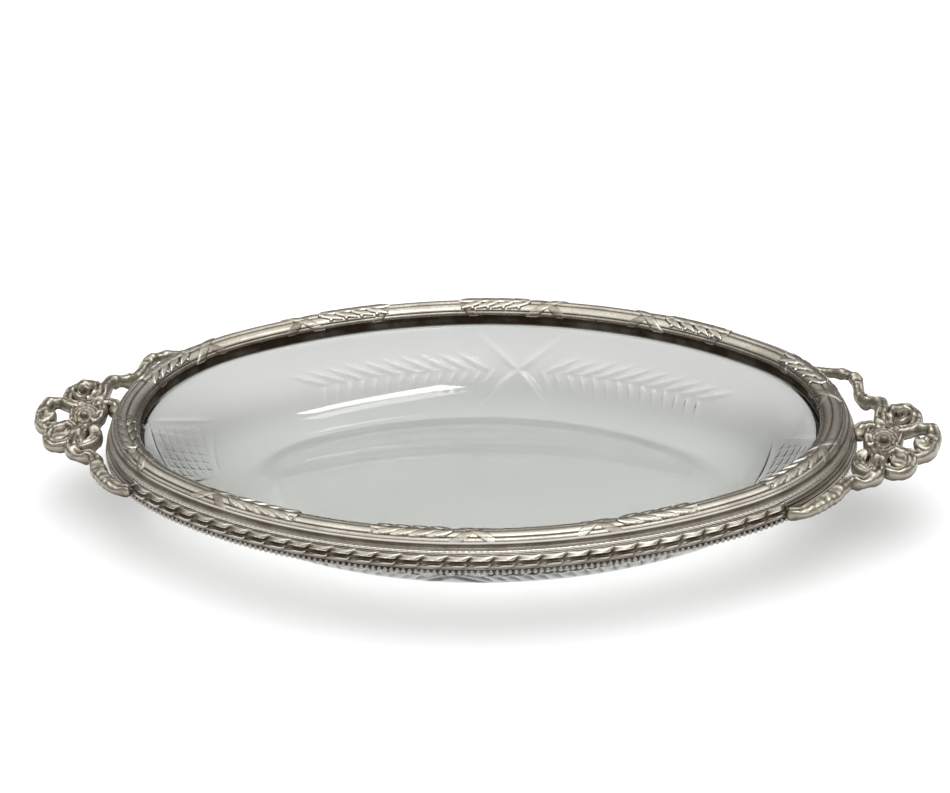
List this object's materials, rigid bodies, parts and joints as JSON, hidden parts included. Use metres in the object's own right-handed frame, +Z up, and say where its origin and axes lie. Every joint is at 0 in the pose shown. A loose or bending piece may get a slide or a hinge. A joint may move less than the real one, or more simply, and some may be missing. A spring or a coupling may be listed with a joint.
{
  "type": "vanity tray",
  "caption": "Oval cut-glass vanity tray with flared sides in a reeded silver-plated mount with ribbon-bow handles at both ends.",
  "frame": {"origin": "on the surface that the tray stands on, under the middle of the dish", "axes": "+X along the length towards the right-hand handle, +Y towards the back, +Z up"},
  "size_m": [0.341, 0.1998, 0.0393],
  "materials": {
    "glass": "polished, cut on the outside",
    "bedding": "set plaster bedding",
    "aged_silver": "silver plate on brass, worn bright on the high points and dark in the recesses",
    "plain_silver": "silver plate on brass, satin, lightly tarnished",
    "cast_silver": "cast and silver plated, soft satin with worn highlights"
  },
  "bodies": {
    "root": {"glass_dish": "glass", "rim_bedding": "bedding", "rim_moulding": "aged_silver", "frame_wall": "plain_silver", "milled_wire": "aged_silver", "bead_wire": "aged_silver", "front_cable_band": "aged_silver", "back_cable_band": "aged_silver", "left_end_band": "plain_silver", "right_end_band": "plain_silver", "ribbon_tie_1": "aged_silver", "ribbon_tie_2": "aged_silver", "ribbon_tie_3": "aged_silver", "ribbon_tie_4": "aged_silver", "ribbon_tie_5": "aged_silver", "ribbon_tie_6": "aged_silver", "ribbon_tie_7": "aged_silver", "ribbon_tie_8": "aged_silver", "ribbon_tie_9": "aged_silver", "ribbon_tie_10": "aged_silver", "left_knot": "cast_silver", "left_rosette": "cast_silver", "left_strut": "cast_silver", "left_outer_loop": "cast_silver", "left_front_loop": "cast_silver", "left_back_loop": "cast_silver", "left_front_tail": "cast_silver", "left_back_tail": "cast_silver", "right_knot": "cast_silver", "right_rosette": "cast_silver", "right_strut": "cast_silver", "right_outer_loop": "cast_silver", "right_front_loop": "cast_silver", "right_back_loop": "cast_silver", "right_front_tail": "cast_silver", "right_back_tail": "cast_silver"}
  },
  "joints": []
}
